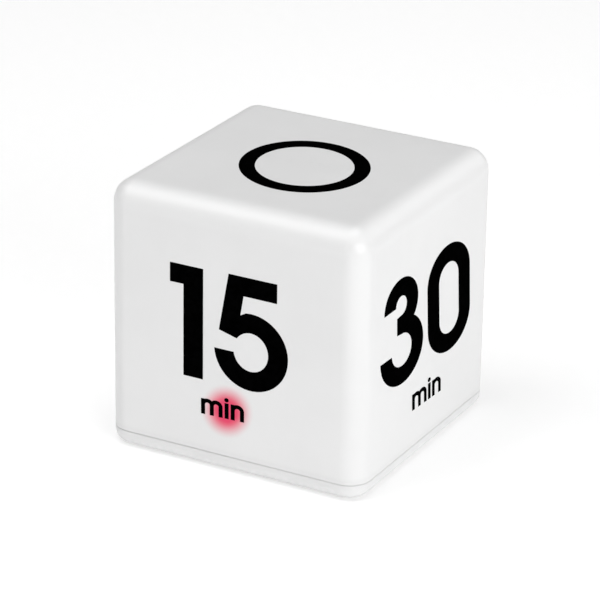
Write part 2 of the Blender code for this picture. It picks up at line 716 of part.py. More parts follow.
def make_contacts():
    """The link joins both cells at the front end, and two single plates serve the back end."""
    half = CONTACT_WIDTH / 2
    contact_plate("link_contact", -1, -CELL_X - half, CELL_X + half)
    contact_plate("positive_contact", 1, -CELL_X - half, -CELL_X + half, -CELL_X)
    contact_plate("negative_contact", 1, CELL_X - half, CELL_X + half, CELL_X)
    points = spring_points()
    print("least gap of a contact spring to itself, mm:",
          round(1000 * least_self_gap(points, SPRING_WIRE, SPRING_POINTS // 2), 3))
    mesh = tube_mesh("contact_spring", points, SPRING_WIRE / 2, 1)
    foot = BAY_HALF_LENGTH - 2 * GAP - CONTACT_THICKNESS
    for name, x, side in (("link_spring", -CELL_X, -1), ("negative_spring", CELL_X, 1)):
        spring = add_object(name, mesh, NICKEL)
        spring.rotation_euler.x = side * QUARTER
        spring.location = (x, side * foot, CELL_Z)


# Circuit board: a cross that leaves the corners to the screw columns
def make_circuit_board():
    board = box("circuit_board", (-BOARD_REACH, -BOARD_REACH, BOARD_LOW),
                (BOARD_REACH, BOARD_REACH, BOARD_HIGH), BOARD_GREEN)
    corner = box("board_corners", (BOARD_ARM, BOARD_ARM, BOARD_LOW - OVERRUN),
                 (BOARD_REACH + OVERRUN, BOARD_REACH + OVERRUN, BOARD_HIGH + OVERRUN))
    hole = cylinder("board_holes", BOARD_SCREW_RADIUS + GAP, BOARD_LOW - OVERRUN,
                    BOARD_HIGH + OVERRUN, POST_X, POST_Y, steps=SMALL_STEPS)
    cut(board, mirror_to_corners(corner), mirror_to_corners(hole))
    for side in BOTH_WAYS:
        y = BAY_HALF_LENGTH - GAP - CONTACT_THICKNESS / 2
        slot = centred_box("board_lug_slot", (side * CELL_X, y, (BOARD_LOW + BOARD_HIGH) / 2),
                           (LUG_WIDTH + 2 * GAP, CONTACT_THICKNESS + 2 * GAP,
                            BOARD_THICKNESS + 2 * OVERRUN))
        cut(board, slot)
    return board


# Screws: turned, with a cross cut into the head
def screw_mesh(name, radius, length, head_radius, head_height, cross):
    """A screw that points up, with the top of its head at the bottom, at height zero."""
    width, reach, depth = cross
    point = radius / 2
    crown = head_height / 3
    profile = [(0, length + head_height), (point, length + head_height),
               (radius, length + head_height - 2 * point), (radius, head_height),
               (head_radius, head_height), (head_radius, crown),
               (head_radius - crown, 0), (0, 0)]
    screw = turned(name, profile, ZINC, SMALL_STEPS)
    along = centred_box("cross_along", (0, 0, 0), (reach, width, 2 * depth))
    across = centred_box("cross_across", (0, 0, 0), (width, reach, 2 * depth))
    cut(screw, along, across)
    return finished_mesh(screw, name)


def make_case_screws():
    cross = (CROSS_WIDTH, CROSS_LENGTH, CROSS_DEPTH)
    mesh = screw_mesh("case_screw", SCREW_RADIUS, SCREW_LENGTH, SCREW_HEAD_RADIUS,
                      SCREW_HEAD_HEIGHT, cross)
    height = SEAT_LOW - GAP - SCREW_HEAD_HEIGHT
    for index in range(len(SIDES)):
        screw = add_object("case_screw_" + str(index + 1), mesh, ZINC)
        place = Vector((CASE_SCREW_PLACE, CASE_SCREW_PLACE, height))
        screw.location = Matrix.Rotation(side_turn(index), 3, "Z") @ place


def make_board_screws():
    cross = (BOARD_CROSS_WIDTH, BOARD_CROSS_LENGTH, BOARD_CROSS_DEPTH)
    mesh = screw_mesh("board_screw", BOARD_SCREW_RADIUS, BOARD_SCREW_LENGTH,
                      BOARD_SCREW_HEAD_RADIUS, BOARD_SCREW_HEAD_HEIGHT, cross)
    number = 0
    for x in BOTH_WAYS:
        for y in BOTH_WAYS:
            number += 1
            screw = add_object("board_screw_" + str(number), mesh, ZINC)
            screw.rotation_euler.x = 2 * QUARTER
            height = ON_BOARD + BOARD_SCREW_HEAD_HEIGHT
            screw.location = (x * POST_X, y * POST_Y, height)


def place_towards_sides(prefix, mesh, paint, places=SIDES):
    """One copy of a piece that was drawn for the front side, turned to each side."""
    made = []
    for index, side in enumerate(places):
        item = add_object(prefix + side, mesh, paint)
        item.rotation_euler.z = side_turn(index)
        made.append(item)
    return made


# Lamps and their resistors
def make_lamps():
    front = -BOARD_REACH - LAMP_OVERHANG
    low, high = ON_BOARD, ON_BOARD + LAMP_HEIGHT
    lamp = box("lamp", (LAMP_SHIFT - LAMP_WIDTH / 2, front, low),
               (LAMP_SHIFT + LAMP_WIDTH / 2, front + LAMP_DEPTH, high), WHITE_LAMP)
    shape = bmesh.new()
    place = Matrix.Translation((LAMP_SHIFT, front, (low + high) / 2))
    bmesh.ops.create_uvsphere(shape, u_segments=SMALL_STEPS, v_segments=8,
                              radius=LAMP_LENS_RADIUS, matrix=place)
    join(lamp, add_object("lamp_lens", mesh_from("lamp_lens", shape)))
    mesh = finished_mesh(lamp, "lamp")
    place_towards_sides("lamp_", mesh, WHITE_LAMP)
    resistor = centred_box("resistor", (LAMP_SHIFT + RESISTOR_SHIFT, -RESISTOR_REACH,
                                        ON_BOARD + RESISTOR_HEIGHT / 2),
                           (RESISTOR_LENGTH, RESISTOR_WIDTH, RESISTOR_HEIGHT), BLACK_PLASTIC)
    place_towards_sides("lamp_resistor_", finished_mesh(resistor, "resistor"), BLACK_PLASTIC)


# Ball tilt switches: a can, a header with two bent pins, and a ball that rolls in the can
def make_tilt_switches():
    can = lying_cylinder("can", CAN_RADIUS, -CAN_START, -CAN_START - CAN_LENGTH, 0, CAN_Z, ZINC)
    bore = lying_cylinder("can_bore", CAN_RADIUS - CAN_WALL, OVERRUN - CAN_START,
                          CAN_WALL - CAN_START - CAN_LENGTH, 0, CAN_Z)
    cut(can, bore)
    place_towards_sides("tilt_can_", finished_mesh(can, "tilt_can"), ZINC)
    header = lying_cylinder("header", CAN_RADIUS, -HEADER_START,
                            -HEADER_START - HEADER_THICKNESS, 0, CAN_Z, BLACK_PLASTIC)
    inner = PIN_REACH - HEADER_START
    for side in BOTH_WAYS:
        x = side * PIN_SPREAD
        run = box("pin_run", (x - PIN_SIZE / 2, -HEADER_START - HEADER_THICKNESS / 2,
                              CAN_Z - PIN_SIZE / 2),
                  (x + PIN_SIZE / 2, inner, CAN_Z + PIN_SIZE / 2))
        drop = box("pin_drop", (x - PIN_SIZE / 2, inner - PIN_SIZE, ON_BOARD),
                   (x + PIN_SIZE / 2, inner, CAN_Z))
        join(header, run, drop)
    place_towards_sides("tilt_header_", finished_mesh(header, "tilt_header"), BLACK_PLASTIC)
    shape = bmesh.new()
    bmesh.ops.create_uvsphere(shape, u_segments=TURN_STEPS // 2, v_segments=SMALL_STEPS,
                              radius=BALL_RADIUS)
    mesh = mesh_from("tilt_ball", shape)
    smooth(mesh)
    for index, side in enumerate(SIDES):
        ball = add_object("tilt_ball_" + side, mesh, NICKEL)
        ball.location = Matrix.Rotation(side_turn(index), 3, "Z") @ Vector((0, -BALL_START, BALL_Z))


# Controller under its epoxy drop, and the parts round it
def make_controller():
    low = ON_BOARD
    steps = ROUND_SEGMENTS
    profile = []
    for index in range(steps + 1):
        angle = QUARTER * (1 - index / steps)
        profile.append((BLOB_RADIUS * math.cos(angle), low + BLOB_HEIGHT * math.sin(angle)))
    profile[0] = (0, low + BLOB_HEIGHT)
    profile.append((0, low))
    turned("controller_drop", profile, BLACK_EPOXY)


def make_crystal():
    item = lying_cylinder("crystal", CRYSTAL_RADIUS, CRYSTAL_Y - CRYSTAL_LENGTH / 2,
                          CRYSTAL_Y + CRYSTAL_LENGTH / 2, CRYSTAL_X, ON_BOARD + CRYSTAL_RADIUS,
                          ZINC, SMALL_STEPS)
    return item


def make_capacitor():
    low, high = ON_BOARD, ON_BOARD + CAPACITOR_HEIGHT
    neck = low + CAPACITOR_HEIGHT / 5
    slim = CAPACITOR_RADIUS - CAPACITOR_GROOVE
    profile = [(0, high), (CAPACITOR_RADIUS - CAPACITOR_ROUND, high),
               (CAPACITOR_RADIUS, high - CAPACITOR_ROUND), (CAPACITOR_RADIUS, neck + CAPACITOR_ROUND),
               (slim, neck), (CAPACITOR_RADIUS, neck - CAPACITOR_ROUND), (CAPACITOR_RADIUS, low),
               (0, low)]
    item = turned("supply_capacitor", profile, BLACK_PLASTIC)
    item.location = (CAPACITOR_X, CAPACITOR_Y, 0)
    return item


def make_transistor():
    item = cylinder("driver_transistor", TRANSISTOR_RADIUS, ON_BOARD, ON_BOARD + TRANSISTOR_HEIGHT,
                    TRANSISTOR_X, TRANSISTOR_Y, BLACK_PLASTIC)
    flat = box("transistor_flat",
               (TRANSISTOR_X - TRANSISTOR_RADIUS - OVERRUN,
                TRANSISTOR_Y - TRANSISTOR_RADIUS - OVERRUN, ON_BOARD - OVERRUN),
               (TRANSISTOR_X + TRANSISTOR_RADIUS + OVERRUN, TRANSISTOR_Y - TRANSISTOR_FLAT,
                ON_BOARD + TRANSISTOR_HEIGHT + OVERRUN))
    cut(item, flat)
    return item


# Sounder: a round can that hangs under the board with its mouth down
def make_sounder():
    high = UNDER_BOARD
    low = high - SOUNDER_HEIGHT
    profile = [(0, high), (SOUNDER_RADIUS - SOUNDER_ROUND, high),
               (SOUNDER_RADIUS, high - SOUNDER_ROUND), (SOUNDER_RADIUS, low + SOUNDER_ROUND),
               (SOUNDER_RADIUS - SOUNDER_ROUND, low), (SOUNDER_MOUTH_RADIUS, low),
               (SOUNDER_MOUTH_RADIUS, low + SOUNDER_MOUTH_DEPTH), (0, low + SOUNDER_MOUTH_DEPTH)]
    item = turned("sounder", profile, BLACK_PLASTIC)
    item.location = (SOUNDER_X, 0, 0)
    return item


# Volume switch: a housing under the board, a sliding handle, and the cap that shows in the base
def make_volume_switch():
    housing = centred_box("switch_housing", (SWITCH_X, 0, SWITCH_LOW + SWITCH_HEIGHT / 2),
                          (SWITCH_WIDTH, SWITCH_LENGTH, SWITCH_HEIGHT), ZINC)
    room_length = HANDLE_LENGTH + SWITCH_TRAVEL + 2 * GAP
    room = box("handle_room", (SWITCH_X - HANDLE_WIDTH / 2 - GAP, -room_length / 2,
                               SWITCH_LOW - OVERRUN),
               (SWITCH_X + HANDLE_WIDTH / 2 + GAP, room_length / 2,
                SWITCH_LOW + SWITCH_POCKET_DEPTH))
    cut(housing, room)
    centred_box("switch_handle",
                (SWITCH_X, CAP_REST_Y, (HANDLE_LOW + SWITCH_LOW + SWITCH_POCKET_DEPTH - GAP) / 2),
                (HANDLE_WIDTH, HANDLE_LENGTH,
                 SWITCH_LOW + SWITCH_POCKET_DEPTH - GAP - HANDLE_LOW), BLACK_PLASTIC)
    make_switch_cap()


def make_switch_cap():
    cap = centred_box("switch_cap", (SWITCH_X, CAP_REST_Y, (CAP_NUB_LOW + FLANGE_HIGH) / 2),
                      (CAP_NUB_WIDTH, CAP_NUB_LENGTH, FLANGE_HIGH - CAP_NUB_LOW), BLACK_PLASTIC)
    flange = centred_box("cap_flange", (SWITCH_X, CAP_REST_Y, (FLANGE_LOW + FLANGE_HIGH) / 2),
                         (CAP_FLANGE_WIDTH, CAP_FLANGE_LENGTH, CAP_FLANGE_THICKNESS))
    socket_top = FLANGE_HIGH + CAP_SOCKET_RISE
    socket = centred_box("cap_socket", (SWITCH_X, CAP_REST_Y, (FLANGE_LOW + socket_top) / 2),
                         (HANDLE_WIDTH + 2 * (GAP + CAP_SOCKET_WALL),
                          HANDLE_LENGTH + 2 * (GAP + CAP_SOCKET_WALL), socket_top - FLANGE_LOW))
    room_low = HANDLE_LOW - GAP
    room = centred_box("cap_room", (SWITCH_X, CAP_REST_Y, (room_low + socket_top + OVERRUN) / 2),
                       (HANDLE_WIDTH + 2 * GAP, HANDLE_LENGTH + 2 * GAP,
                        socket_top + OVERRUN - room_low))
    join(cap, flange, socket)
    cut(cap, room)
    for index in range(CAP_GROOVE_COUNT):
        y = CAP_REST_Y + (index - (CAP_GROOVE_COUNT - 1) / 2) * CAP_NUB_LENGTH / CAP_GROOVE_COUNT
        groove = centred_box("cap_groove", (SWITCH_X, y, CAP_NUB_LOW),
                             (CAP_NUB_WIDTH + OVERRUN, CAP_GROOVE, 2 * CAP_GROOVE))
        cut(cap, groove)


def make_cube_timer():
    make_cube_shell()
    make_base_cover()
    make_battery_door()
    make_cell("cell_left", -CELL_X, 0)
    make_cell("cell_right", CELL_X, 2 * QUARTER)
    make_contacts()
    make_circuit_board()
    make_case_screws()
    make_board_screws()
    make_lamps()
    make_tilt_switches()
    make_controller()
    make_crystal()
    make_capacitor()
    make_transistor()
    make_sounder()
    make_volume_switch()


make_cube_timer()
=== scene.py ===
import math

import bmesh
import bpy
import numpy as np
from mathutils import Matrix, Vector


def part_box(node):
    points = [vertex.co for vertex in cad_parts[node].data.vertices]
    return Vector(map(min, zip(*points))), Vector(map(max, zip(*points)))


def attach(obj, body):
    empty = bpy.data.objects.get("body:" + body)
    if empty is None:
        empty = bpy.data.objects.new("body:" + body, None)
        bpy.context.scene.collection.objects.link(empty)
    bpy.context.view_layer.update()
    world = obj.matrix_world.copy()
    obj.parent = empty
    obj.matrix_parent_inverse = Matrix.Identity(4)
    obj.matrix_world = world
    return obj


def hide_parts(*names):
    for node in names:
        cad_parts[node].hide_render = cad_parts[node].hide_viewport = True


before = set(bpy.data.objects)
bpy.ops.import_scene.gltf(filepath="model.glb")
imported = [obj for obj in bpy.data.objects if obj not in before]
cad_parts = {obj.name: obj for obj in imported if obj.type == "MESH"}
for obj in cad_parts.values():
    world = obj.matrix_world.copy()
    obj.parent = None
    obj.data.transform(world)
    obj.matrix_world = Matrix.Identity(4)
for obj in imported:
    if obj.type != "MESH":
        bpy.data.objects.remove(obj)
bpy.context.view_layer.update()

# Sizes of the case in metres: what the frame says, and the moulding's own radii
BODY = "case"
SHELL_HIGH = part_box("cube_shell")[1]
HALF = float(SHELL_HIGH[0])
TOP = float(SHELL_HIGH[2])
BASE_RIM = 0.00395
EDGE = 0.0052
BASE_EDGE = 0.0030
WALL = 0.0022
RIM = 0.00010
SEAM_GAP = 0.00005
SHELL_FOOT = BASE_RIM + SEAM_GAP

# Steps of the case surfaces
ARC_STEPS = 14
SIDE_STEPS = 20
RIM_STEPS = 4
FLAT_STEPS = 10

# Angles in degrees between two faces, above which their edge stays sharp
SHELL_SHARP = 40
BASE_SHARP = 35
WIRE_SHARP = 60
CELL_SHARP = 40

# The base's normals: how far a facet may turn from the true curve, in degrees, how far inside the
# case a corner may lie, and what counts as flat and as lying on an outer face
CURVE_TURN = 16
CURVE_INSET = BASE_EDGE + 0.00001
FLAT_ENOUGH = 0.99999
ON_FACE = 1e-6
LEAST_LENGTH = 1e-9

# The prints, in metres through the ink and in millimetres on a face
INK_PROUD = 0.00003
INK_SUNK = 0.00002
INK_SPREAD = 0.06
SAME_POINT = 0.005
CURVE_STEPS = 40
ARCH_STEPS = 14
DOT_STEPS = 20
NUMERAL_LINE = 20.85
WORD_LINE = 12.86
WORD_START = -5.30

# The lit side: a painted glow on the wall where its lamp lies behind it, and how far the painted
# glow spreads
GLOW_CENTRE = (-0.0010, -HALF, 0.0147)
GLOW_LEAN = math.radians(-40)
GLOW_SHAPE = (1.07, 1.0, 0.95)
GLOW_REACH = 0.0068
GLOW_CORE = 0.0022
GLOW_STRENGTH = 0.52

# Painted shade on the white moulding, at the seam and at the foot, and the fade of the painted
# light down the upright edges
SEAM_HEIGHT = 0.0046
SEAM_PAINTED_SHADE_REACH = 0.0011
FOOT_PAINTED_SHADE = (0.0004, 0.0020)
UPRIGHT_PAINTED_LIGHT_FADE = (0.012, 0.045)

# A dry cell's sleeve: its pale line and its metal band along the cell, and its bare end's radius
SLEEVE_LINE = (0.0078, 0.0083)
SLEEVE_BAND = 0.0088
BARE_RADIUS = 0.0042

# Copper tracks on the board
TRACK_WIDTH = 0.00011
TRACK_LENGTH = 0.0052
TRACK_PITCH = 0.0013

# Colours that several finishes share
WHITE_SHELL = (0.80, 0.80, 0.80)
WHITE_BASE = (0.765, 0.765, 0.765)
BLACK = (0.0, 0.0, 0.0)

# Camera, worked out from the cube's own edges in the photograph
VIEW_AZIMUTH = math.radians(28.363)
VIEW_ELEVATION = math.radians(22.875)
VIEW_ROLL = math.radians(0.893)
VIEW_DISTANCE = 0.73174
VIEW_TARGET = Vector((0.0, 0.0, 0.03175))
LENS_IN_PIXELS = 3280.16
PICTURE = 600.0
AXIS_PIXEL = (302.119, 291.361)
SENSOR = 36.0
NEAREST, FARTHEST = 0.01, 50

# Studio: an even sky, a floor that gives light back, and soft boxes as name, place and watts
SKY_STRENGTH = 0.20
FLOOR_DROP = 0.00005
FLOOR_REACH = 4.0
FLOOR_POINTS = 9
FLOOR_GLOW = 0.34
SOFTBOX_SIZE = (0.65, 0.55)
SOFTBOX_TARGET = Vector((0.0, 0.0, 0.03))
SOFTBOXES = (
    ("softbox_right", (0.840, -0.485, 0.242), 5.01),
    ("softbox_over", (0.000, 0.000, 1.000), 3.74),
    ("softbox_left", (-0.426, -0.384, 0.819), 2.88),
    ("softbox_back", (0.394, 0.808, 0.438), 1.31),
)


# Making pieces
def add_piece(name, mesh, material, body=BODY):
    """An object for a finished mesh, which moves with a body of the frame."""
    piece = bpy.data.objects.new(name, mesh)
    bpy.context.scene.collection.objects.link(piece)
    mesh.materials.clear()
    mesh.materials.append(material)
    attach(piece, body)
    return piece


def mesh_from_grid(name, points, closed_round=True):
    """A mesh of quads over a grid of points: the first index runs along the profile and the
    second round the ring, which joins up with its start when closed_round is true."""
    rows, columns = points.shape[:2]
    last = columns if closed_round else columns - 1
    row = np.arange(rows - 1)[:, None]
    column = np.arange(last)[None, :]
    after = (column + 1) % columns
    quads = np.stack([row * columns + column, row * columns + after,
                      (row + 1) * columns + after, (row + 1) * columns + column], -1)
    mesh = bpy.data.meshes.new(name)
    mesh.from_pydata(points.reshape(-1, 3).tolist(), [], quads.reshape(-1, 4).tolist())
    return mesh


def tidy(mesh, distance=1e-7, outwards=True):
    """Merges the doubles, drops empty faces, and turns the faces outwards."""
    shape = bmesh.new()
    shape.from_mesh(mesh)
    bmesh.ops.remove_doubles(shape, verts=shape.verts, dist=distance)
    bmesh.ops.dissolve_degenerate(shape, edges=shape.edges, dist=distance)
    if outwards:
        bmesh.ops.recalc_face_normals(shape, faces=shape.faces)
    shape.to_mesh(mesh)
    shape.free()


def soften(mesh, angle):
    """Smooth shading, broken where two faces meet at more than the angle in degrees."""
    mesh.shade_smooth()
    mesh.set_sharp_from_angle(angle=math.radians(angle))


def steady_normals(piece):
    """Lets the large flat faces decide the shading where they meet a fillet."""
    step = piece.modifiers.new("steady_normals", "WEIGHTED_NORMAL")
    step.keep_sharp = True


# The case: rounded square rings carried along a profile
def rounded_square():
    """Centres C and arc points A of a rounded square, walked once round. A point of the ring of
    half width h and corner radius r is (h - r) * C + r * A: C is a corner of the square, A a point
    of the unit circle, and between two corners C runs straight while A stays."""
    signs = np.array([(1, 1), (-1, 1), (-1, -1), (1, -1)], float)
    centres, arcs = [], []
    for index in range(4):
        turn = np.linspace(0, math.pi / 2, ARC_STEPS + 1) + index * math.pi / 2
        centres.append(np.repeat(signs[index:index + 1], len(turn), 0))
        arcs.append(np.stack([np.cos(turn), np.sin(turn)], -1))
        share = np.linspace(0, 1, SIDE_STEPS + 1)[1:-1, None]
        centres.append(signs[index] * (1 - share) + signs[(index + 1) % 4] * share)
        arcs.append(np.repeat(arcs[-1][-1:], len(share), 0))
    return np.concatenate(centres), np.concatenate(arcs)


def ring_surface(profile):
    """The surface of rounded square rings, one for each (half width, corner radius, height)."""
    centres, arcs = rounded_square()
    half, radius, height = (profile[:, index][:, None, None] for index in range(3))
    flat = (half - radius) * centres[None] + radius * arcs[None]
    level = np.broadcast_to(height, flat.shape[:2] + (1,))
    return np.concatenate([flat, level], -1)


def arc_of_rings(half, corner, height, radius, start, end, steps):
    """Rings on a fillet of the given radius. Its centre line lies radius inside the ring of that
    half width and corner, at the height, and the angle runs from level, 0, to upright, 90."""
    turn = np.radians(np.linspace(start, end, steps + 1))
    inset = radius * (1 - np.cos(turn))
    return np.stack([half - inset, corner - inset, height + radius * np.sin(turn)], -1)


def level_rings(half, corner, height, out=False):
    """Rings on a flat face, evenly spaced from its edge to its middle, or from the middle out."""
    share = np.linspace(1, 0, FLAT_STEPS + 1)[1:]
    rings = np.stack([half * share, corner * share, np.full(FLAT_STEPS, height)], -1)
    return rings[::-1] if out else rings


def shell_profile():
    """From the middle of the ceiling, down the inner wall, round the rim, up the outer wall and
    over the edge to the middle of the top."""
    inner = HALF - WALL
    bend = EDGE - WALL
    ceiling = TOP - WALL
    crown = arc_of_rings(HALF, EDGE, TOP - EDGE, EDGE, 0, 90, ARC_STEPS)
    vault = arc_of_rings(inner, bend, ceiling - bend, bend, 90, 0, ARC_STEPS)
    wall_low = SHELL_FOOT + RIM
    wall_high = TOP - EDGE
    heights = np.linspace(wall_low, wall_high, FLAT_STEPS)[1:-1]
    outer = np.stack([np.full(len(heights), HALF), np.full(len(heights), EDGE), heights], -1)
    rim = arc_of_rings(HALF, EDGE, wall_low, RIM, -90, 0, RIM_STEPS)
    foot = np.array([(inner, bend, SHELL_FOOT)])
    return np.concatenate([level_rings(inner - bend, 0, ceiling, out=True), vault, foot, rim, outer,
                           crown, level_rings(HALF - EDGE, 0, TOP)])


def make_shell(material):
    """The shell's smooth skin: one closed surface of rounded square rings, whose fillets are arcs
    of EDGE outside and EDGE - WALL inside."""
    mesh = mesh_from_grid("shell_skin", ring_surface(shell_profile()))
    tidy(mesh)
    soften(mesh, SHELL_SHARP)
    piece = add_piece("shell_skin", mesh, material)
    steady_normals(piece)
    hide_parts("cube_shell")


def merged_copy(node, name, material, angle):
    """A CAD node's own shape with its triangles joined up, so that its fillets shade smoothly."""
    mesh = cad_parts[node].data.copy()
    mesh.name = name
    tidy(mesh, outwards=False)
    soften(mesh, angle)
    piece = add_piece(name, mesh, material)
    steady_normals(piece)
    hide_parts(node)


def case_normals(points):
    """Outward normals of the base's outer surface. With d the way in plan from the nearest point
    of the square that joins the corner centres, the normal is d on the upright part, and on the
    bottom fillet it runs from the fillet's centre line, BASE_EDGE above the foot."""
    core = HALF - EDGE
    way = points[:, :2] - np.clip(points[:, :2], -core, core)
    reach = np.maximum(np.linalg.norm(way, axis=1, keepdims=True), LEAST_LENGTH)
    level = np.minimum(points[:, 2:] - BASE_EDGE, 0)
    out = np.where(level < 0, reach - (EDGE - BASE_EDGE), reach)
    normals = np.concatenate([way / reach * np.maximum(out, 0), level], 1)
    return normals / np.maximum(np.linalg.norm(normals, axis=1, keepdims=True), LEAST_LENGTH)


def read_all(items, key, width, kind=float):
    """One property of all items of a mesh, as an array with a row for each item."""
    values = np.empty(len(items) * width, kind)
    items.foreach_get(key, values)
    return values.reshape(-1, width) if width > 1 else values


def make_base(material):
    """The base cover's own shape. Its flat outer faces keep their flat normals, its fillets take
    the normals of the true curve, and all else is smooth up to a sharp angle."""
    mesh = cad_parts["base_cover"].data.copy()
    mesh.name = "base_skin"
    tidy(mesh, outwards=False)
    soften(mesh, BASE_SHARP)
    face = np.repeat(np.arange(len(mesh.polygons)), read_all(mesh.polygons, "loop_total", 1, int))
    flat = read_all(mesh.polygons, "normal", 3)[face]
    at = read_all(mesh.vertices, "co", 3)[read_all(mesh.loops, "vertex_index", 1, int)]
    normals = read_all(mesh.corner_normals, "vector", 3)
    true = case_normals(at)
    side = np.abs(at[:, :2]).max(1)
    on_curve = (flat * true).sum(1) > math.cos(math.radians(CURVE_TURN))
    on_curve &= (at[:, 2] < BASE_RIM) & (side > HALF - CURVE_INSET)
    normals = np.where(on_curve[:, None], true, normals)
    square = np.abs(flat).max(1) > FLAT_ENOUGH
    outside = (np.abs(at[:, 2]) < ON_FACE) | (np.abs(side - HALF) < ON_FACE)
    normals = np.where((square & outside)[:, None], flat, normals)
    mesh.normals_split_custom_set(normals.tolist())
    piece = add_piece("base_skin", mesh, material)
    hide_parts("base_cover")


# The prints: outlines in millimetres on a side, with x to the right and z up
def arc(centre, radii, start, end, steps=CURVE_STEPS):
    """Points on an ellipse about the centre, between two angles in degrees."""
    turn = np.radians(np.linspace(start, end, steps + 1))
    return np.stack([centre[0] + radii[0] * np.cos(turn), centre[1] + radii[1] * np.sin(turn)], -1)


def outline(*parts):
    """One outline from points and runs of points."""
    return np.concatenate([np.atleast_2d(np.array(part, float)) for part in parts])


def shifted(outlines, x=0.0, z=0.0):
    """The outlines moved to the right and up."""
    return [points + np.array([x, z]) for points in outlines]


def stretched(outlines, across=1.0, up=1.0):
    """The outlines scaled about the origin."""
    return [points * np.array([across, up]) for points in outlines]


def leaning(outlines, lean, fall, middle):
    """Upright lines lean by the first share of their height, level ones fall by the second."""
    made = []
    for points in outlines:
        x, z = (points - middle).T
        made.append(np.stack([x - lean * z, z - fall * x], -1) + middle)
    return made


def numeral_1():
    """A stem with a square flag, its foot on the line."""
    return [outline((-8.12, 26.04), (0.05, 26.04), (0.05, 0.19), (-4.73, 0.19), (-4.73, 21.67),
                    (-8.12, 21.67))]


def numeral_5():
    """A bar, a slanted stem and an open ring, whose middle is the origin's x."""
    bowl, hole = (0.07, 9.13), (0.04, 9.14)
    return [outline((-5.50, 26.31), (6.29, 26.31), (6.29, 21.95), (-1.89, 21.99), (-2.67, 17.22),
                    arc(bowl, (9.05, 8.98), 98.0, -175.1), arc(hole, (4.34, 4.56), -170.2, 143.9),
                    (-7.82, 12.95))]


def numeral_3():
    """Two bowls, each between an outer and an inner ellipse, with a short bar between them."""
    upper, lower = (-0.44, 19.04), (0.35, 8.25)
    return [outline(arc(upper, (7.90, 6.36), 182.7, -39.4), arc(lower, (10.09, 7.95), 58.17, -177),
                    arc((0.22, 8.41), (4.73, 3.90), 185.8, 450), (-2.12, 12.42), (-2.30, 16.39),
                    arc((-0.45, 19.02), (2.60, 2.35), 270, 539.2))]


def oval(half_x, half_z, bend, middle):
    """An upright oval: half ellipses as high as the bend on the ends of two straight sides."""
    flat = half_z - bend
    return outline(arc((0, middle + flat), (half_x, bend), 0, 180),
                   arc((0, middle - flat), (half_x, bend), 180, 360))


def numeral_0(width, height, side, cap):
    """One oval in another, a side's stroke in from the left and right, a cap's from the ends. The
    ends bend over shares of the oval's width."""
    outer_share, inner_share = 0.38 * 2, 0.83
    half_x, half_z = width / 2, height / 2
    return [oval(half_x, half_z, half_x * outer_share, half_z),
            oval(half_x - side, half_z - cap, (half_x - side) * inner_share, half_z)]


def numeral_6():
    """A ring with a slanted stem, which leaves it along a tangent on the left."""
    bowl, radius, hole = np.array([0, 8.90]), 8.90, 4.45
    tip, tip_end, bowl_end = np.array([0.60, 25.75]), (6.20, 25.75), 444.7
    reach = np.linalg.norm(tip - bowl)
    towards = math.degrees(math.atan2(*(tip - bowl)[::-1]))
    touch = towards + math.degrees(math.acos(radius / reach))
    return [outline(tip, arc(bowl, (radius, radius), touch, bowl_end, 2 * CURVE_STEPS), tip_end),
            arc(bowl, (hole, hole), 0, 360)[:-1]]


def arched_letter(legs, pitch, height, stroke):
    """The letter n or m: upright legs of one stroke's width, joined by arches. Each arch lies
    between two half ellipses, the outer one a stroke wider and nearly a stroke higher than the
    inner one. Over the middle of an inner leg two neighbouring arches cross in a notch."""
    rise_share, crown_share, first_leg_share = 0.88, 0.94, 0.97
    gap = pitch - stroke
    inner = np.array([gap / 2, gap / 2 * rise_share])
    spring = height - crown_share * stroke - inner[1]
    outer = np.array([gap / 2 + stroke, height - spring])
    middles = [stroke + gap / 2 + index * pitch for index in range(legs - 1)]
    shoulder = height * first_leg_share
    notch = math.degrees(math.acos((gap / 2 + stroke / 2) / outer[0]))
    start = math.degrees(math.acos((gap / 2) / outer[0]))
    under, over = [(0, 0), (stroke, 0)], []
    for middle in middles:
        under.append(arc((middle, spring), inner, 180, 0, ARCH_STEPS))
        under.append((middle + gap / 2, 0))
        under.append((middle + gap / 2 + stroke, 0))
    for index, middle in reversed(list(enumerate(middles))):
        begin = 0 if index == len(middles) - 1 else notch
        end = 180 - (notch if index else start)
        over.append(arc((middle, spring), outer, begin, end, ARCH_STEPS))
    return [outline(*under, *over, (stroke, shoulder), (0, shoulder))]


def word_min():
    """The unit's three letters, 10.82 wide, on a line at height zero, from x zero."""
    height, stroke = 3.93, 0.906
    dot = arc((6.45, 4.67), (0.51, 0.48), 0, 360, DOT_STEPS)[:-1]
    stem = outline((6.02, 0), (6.92, 0), (6.92, 3.80), (6.02, 3.80))
    return (arched_letter(3, 2.24, height, stroke) + [stem, dot]
            + shifted(arched_letter(2, 2.36, height, stroke), 7.56))


def ring_mark(radius, stroke, stretch, towards):
    """The ring on the top: a round one, stretched a little towards one direction, in degrees."""
    turn = math.radians(towards)
    spin = np.array([(math.cos(turn), math.sin(turn)), (-math.sin(turn), math.cos(turn))])
    return [arc((0, 0), (size * stretch, size), 0, 360, 3 * CURVE_STEPS)[:-1] @ spin
            for size in (radius, radius - stroke)]


def surrounds(points, place):
    """Whether a place lies inside a closed outline: a level line from it to the right then
    crosses the outline an odd number of times."""
    (x, z), (next_x, next_z) = points.T, np.roll(points, -1, 0).T
    crossed = (z > place[1]) != (next_z > place[1])
    rise = np.where(crossed, next_z - z, 1.0)
    return np.count_nonzero(crossed & (x + (place[1] - z) / rise * (next_x - x) > place[0])) % 2


